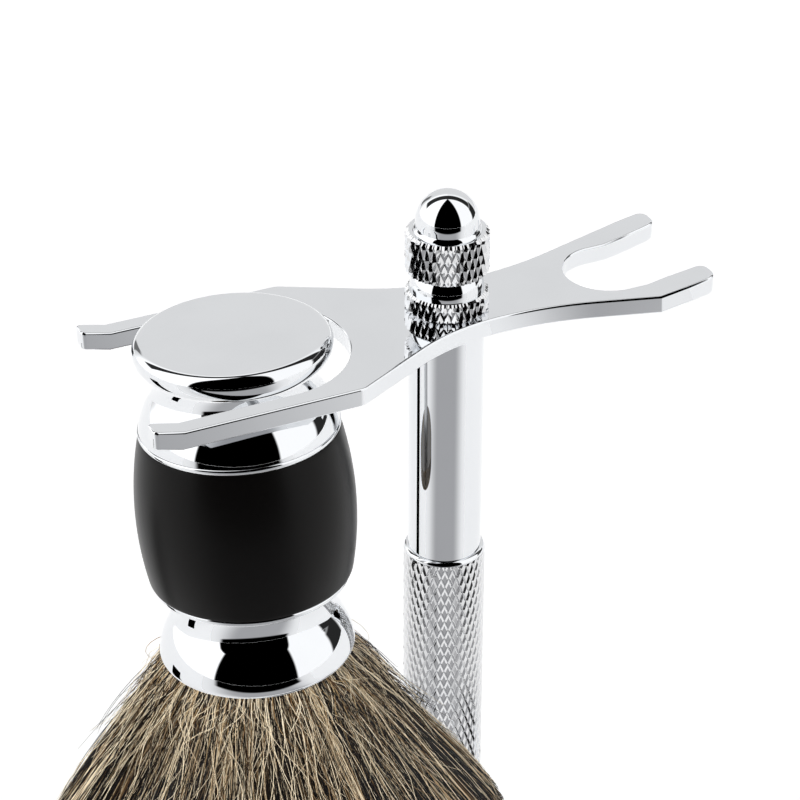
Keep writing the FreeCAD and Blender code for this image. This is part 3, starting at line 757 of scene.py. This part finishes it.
def make_hair(finish, shadow, place):
    """The knot: dense layers inside, darkened as painted shade of its depth, looser ones outside,
    short hairs and a few strays.
    """
    inner_edges = (0.0, 0.35, 0.7, 0.8, 0.85, 0.9, 0.93, 0.95)
    dense_layers = 5
    # the third number shifts a layer's tones; the dense inner layers are darkened most, as painted
    # shade of the knot's depth
    dense, sparse = (4600, 1.0, -0.50, 1.0), (2900, 1.6, -0.22, 1.25)
    for layer, inner in enumerate(inner_edges):
        count, loose, light, coarseness = dense if layer < dense_layers else sparse
        name = "hair_layer_%d" % layer
        lines = strand_lines(count, 40 + layer, inner, place, 8, loose, light=light)
        mesh = strand_mesh(name, *lines, HAIR_R * coarseness)
        hair_piece(name, mesh, finish, ["hair_knot"] if layer == 0 else ())
    short_r, stray_r = 0.075, 0.04
    short = strand_lines(3400, 71, 0.95, place, 10, loose=2.4, length=(0.12, 0.55), flare=0.25)
    hair_piece("hair_short", strand_mesh("hair_short", *short, short_r), finish)
    strays = strand_lines(520, 91, 0.96, place, 12, loose=3.0, length=(0.12, 0.45), flare=0.13)
    hair_piece("hair_strays", strand_mesh("hair_strays", *strays, stray_r), finish)
    make_core(shadow, place)


def make_core(shadow, place):
    """A dark inner body that keeps light from passing through the knot; its dark colour is painted
    shade of the knot's depth.
    """
    top_r, top = 10.5, FERRULE_END + 3
    width_share, depth_share = 0.88, 0.94
    tip_level = FERRULE_END - HAIR_LEN + 5
    shoulder_share, shoulder_level = 0.55, FERRULE_END - HAIR_LEN + 8
    depth = np.linspace(0.0, HAIR_FAN_LEN * depth_share, 16)
    radius = fan_radius(depth) * width_share
    profile = [(0, top), (top_r, top)]
    profile += [(float(r), FERRULE_END - float(d)) for r, d in zip(radius, depth)]
    last = profile[-1]
    profile += arc(last, (last[0] * shoulder_share, shoulder_level), (0, tip_level))
    bm = bmesh.new()
    turn_profile(bm, profile, 96)
    # Points on the axis are joined first, so that none of them is bent to the other side.
    bmesh.ops.remove_doubles(bm, verts=bm.verts, dist=WELD)
    bm.transform(place)
    coords = np.array([v.co for v in bm.verts])
    for vert, moved in zip(bm.verts, clear_of_post(coords)):
        vert.co = moved
    piece("hair_core", bm, shadow, "brush")


# ---- studio ----------------------------------------------------------------------------
def make_floor():
    """White paper that glows a little, as if lit from all round."""
    f = Finish("studio_floor")
    paper = f.noise(700.0, 4.0)
    f.surface({"Base Color": f.mix(paper, (0.90, 0.90, 0.90, 1), (0.93, 0.93, 0.93, 1)),
               "Roughness": 0.8, "Specular IOR Level": 0.1,
               "Emission Color": (1, 1, 1, 1), "Emission Strength": 0.5})
    bm = bmesh.new()
    bmesh.ops.create_circle(bm, cap_ends=True, radius=FLOOR_R, segments=96)
    staged("studio_floor", bm, f.owner)


def make_cards(name, near, far, middle, half, finish):
    """A flat card round the stand, part of a ring, that shows only in reflections."""
    bm = bmesh.new()
    first = bm.verts.new((0, -near, CARD_LIFT))
    last = bm.verts.new((0, -far, CARD_LIFT))
    edge = bm.edges.new((first, last))
    bmesh.ops.rotate(bm, verts=[first, last], cent=(0, 0, 0),
                     matrix=Matrix.Rotation(CAMERA_TURN + middle - half, 3, "Z"))
    bmesh.ops.spin(bm, geom=[first, last, edge], cent=(0, 0, 0), axis=(0, 0, 1),
                   angle=2 * half, steps=24, use_merge=False)
    bmesh.ops.recalc_face_normals(bm, faces=bm.faces)
    card = staged(name, bm, finish)
    card.visible_camera = False
    card.visible_diffuse = False
    card.visible_shadow = False


def front_shade():
    """A painted reflection of a table that glows: grey near the stand, white towards the sides, and
    black past its edge.
    """
    f = Finish("front_shade")
    ahead = f.along(f.coordinates(), (math.sin(CAMERA_TURN), -math.cos(CAMERA_TURN), 0.0))
    aside = f.along(f.coordinates(), (math.cos(CAMERA_TURN), math.sin(CAMERA_TURN), 0.0))
    off = abs(aside.maths("ARCTAN2", aside, ahead))
    side = off.step(math.radians(24), math.radians(58))
    painted_table_reflection = f.mix(side, (0.43, 0.43, 0.44, 1), (1.0, 1.0, 1.0, 1))
    painted_table_width = 1 - off.step(math.radians(42), math.radians(48))
    past_edge = ahead.step(0.30, 0.38) * painted_table_width
    colour = f.mix(past_edge, painted_table_reflection, (0.0, 0.0, 0.0, 1))
    # the card glows with these colours, as painted reflections for the chrome
    return f.surface({"Base Color": (0, 0, 0, 1), "Specular IOR Level": 0.0,
                      "Emission Color": colour, "Emission Strength": 1.0})


def side_shade():
    """Plain black: a painted dark reflection for the chrome."""
    f = Finish("side_shade")
    return f.surface({"Base Color": (0, 0, 0, 1), "Specular IOR Level": 0.0})


def staged(name, bm, material):
    """An object of the studio, which isn't part of the stand."""
    mesh = bpy.data.meshes.new(name)
    bm.to_mesh(mesh)
    bm.free()
    mesh.materials.append(material)
    made = linked(name, mesh)
    return made


def make_world():
    """A studio of three white walls: bright to the left and right, softer behind the stand.

    The side that faces the camera is open and dark, and the opening narrows to a point just
    behind overhead. High up, a dark seam parts the side walls from the wall behind. Low down
    there is a dark gap on the right, and a fainter one on the left. A camera sees plain white
    all round.
    """
    world = bpy.data.worlds.new("studio")
    bpy.context.scene.world = world
    f = Finish("studio", world)
    direction = f.coordinates("Generated")
    forward = f.along(direction, (math.sin(CAMERA_TURN), -math.cos(CAMERA_TURN), 0.0))
    across = f.along(direction, (math.cos(CAMERA_TURN), math.sin(CAMERA_TURN), 0.0))
    height = f.along(direction, (0.0, 0.0, 1.0))
    bearing = across.maths("ARCTAN2", across, forward)
    rise = height.maths("ARCSINE", height, 0.0)

    left = (0.0 - bearing).step(0.0, 0.1)
    walls = left * SIDE_LIGHT[0] + (1 - left) * SIDE_LIGHT[1]
    behind = (0.0 - forward).step(0.55, 0.75)
    walls = walls * (1 - behind) + behind * BACK_LIGHT
    opening = (abs(across) - forward * OPENING_SLOPE - OPENING_TOP).step(-0.03, 0.03)

    overhead = rise.step(math.radians(20), math.radians(26))
    seam = abs(forward + SEAM).step(0.12, 0.16) * overhead + (1 - overhead)
    gap_right = abs(bearing - rise * 0.3 - math.radians(112)).step(0.20, 0.28)
    gap_left = abs(bearing + math.radians(146)).step(0.07, 0.12)
    low_gaps = gap_right * (gap_left * 0.8 + 0.2) * (1 - overhead) + overhead
    gaps = seam * low_gaps * (1 - DARK) + DARK

    level = walls * opening * gaps
    camera = Value(f, f.node("ShaderNodeLightPath").outputs["Is Camera Ray"])
    level = level * (1 - camera) + camera * BACKDROP
    sky = f.node("ShaderNodeBackground", None, {"Color": (1, 1, 1, 1), "Strength": level})
    f.node("ShaderNodeOutputWorld", None, {"Surface": sky.outputs[0]})


def add_lamp(name, place, size, power):
    """A soft lamp aimed at the brush, which lights the hair and doesn't show in the chrome."""
    light = bpy.data.lights.new(name, "AREA")
    light.size = size
    light.energy = power
    lamp = linked(name, light)
    lamp.location = place
    aim = BRUSH_AXIS * MM - Vector(place)
    lamp.rotation_euler = aim.to_track_quat("-Z", "Y").to_euler()
    lamp.visible_glossy = False
    lamp.light_linking.receiver_collection = lit_by_lamps()


def make_camera():
    data = bpy.data.cameras.new("camera")
    data.lens = LENS
    data.sensor_width = SENSOR
    data.clip_start = 0.01
    camera = linked("camera", data)
    camera.location = CAMERA_PLACE
    camera.rotation_euler = (CAMERA_TILT, 0, CAMERA_TURN)
    bpy.context.scene.camera = camera


# ---- the whole -------------------------------------------------------------------------
def finish_inner_nodes():
    """Materials for the pieces that keep the model's own shape."""
    finishes = {
        "base_weight": cast_iron(), "base_pad": foam_rubber(), "base_washer": zinc_steel(),
        "base_screw": zinc_steel(), "tube_plug": plain_brass(), "post_stud": zinc_steel(),
        "plate_washer": white_nylon(), "collar_clip": zinc_steel(), "handle_rod": zinc_steel(),
        "knot_plug": knot_resin(),
    }
    for node, finish in finishes.items():
        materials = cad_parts[node].data.materials
        materials.clear()
        materials.append(finish)


make_camera()
bpy.context.scene.view_settings.view_transform = "Standard"
chrome, knurled_finish = polished_chrome(), knurled_chrome()
place = brush_place()
make_base(chrome)
make_post(chrome, knurled_finish)
make_holder(chrome)
make_finial(chrome, knurled_finish)
make_cap(chrome, place)
make_ring("upper_ring_polished", "upper_ring", SHOULDER_H, BARREL_TOP, chrome, place)
make_barrel(satin_black(), place)
make_ring("lower_ring_polished", "lower_ring", BARREL_END, FERRULE_TOP, chrome, place)
make_ferrule(chrome, place)
make_hair(badger_hair(), hair_shadow(), place)
finish_inner_nodes()
make_floor()
make_cards("front_card", 0.06, 2.8, 0.0, math.radians(60), front_shade())
make_cards("side_card", 0.12, 0.26, math.radians(-92), math.radians(6), side_shade())
make_world()
add_lamp("key_lamp", (-0.95, -0.60, 0.75), 0.30, 11.0)
add_lamp("fill_lamp", (0.50, -1.00, 0.60), 0.60, 4.0)
